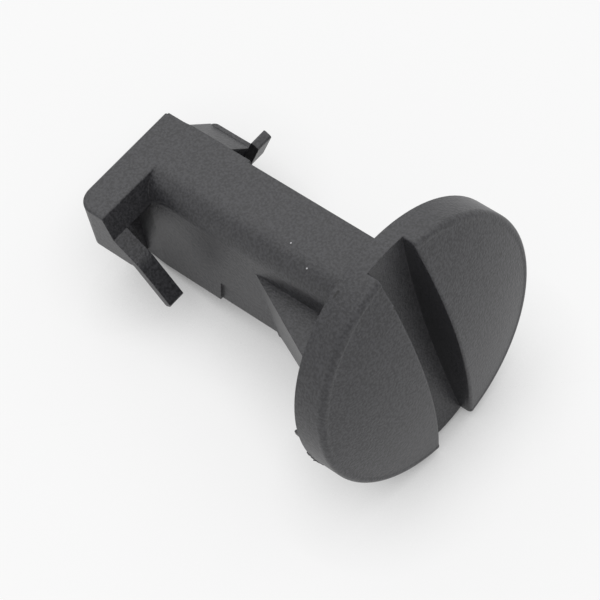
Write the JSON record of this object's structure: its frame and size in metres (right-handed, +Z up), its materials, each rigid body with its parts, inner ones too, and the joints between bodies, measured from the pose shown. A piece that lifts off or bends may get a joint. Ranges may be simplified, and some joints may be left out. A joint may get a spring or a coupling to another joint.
{
  "type": "quarter-turn cover clip",
  "caption": "Moulded quarter-turn cover clip with a slotted round head, a stout shank with one gusset, and two tail lugs with spring fingers.",
  "frame": {"origin": "centre of the head's underside, where the shank enters the panel", "axes": "+X along the clip towards the head and +Z up with the clip lying at rest; the clip's own axis rises 13.4 degrees towards the head about Y"},
  "size_m": [0.0426, 0.03, 0.0297],
  "materials": {
    "black_nylon": "fine matte mould texture"
  },
  "bodies": {
    "root": {"turn_clip": "black_nylon"}
  },
  "joints": []
}
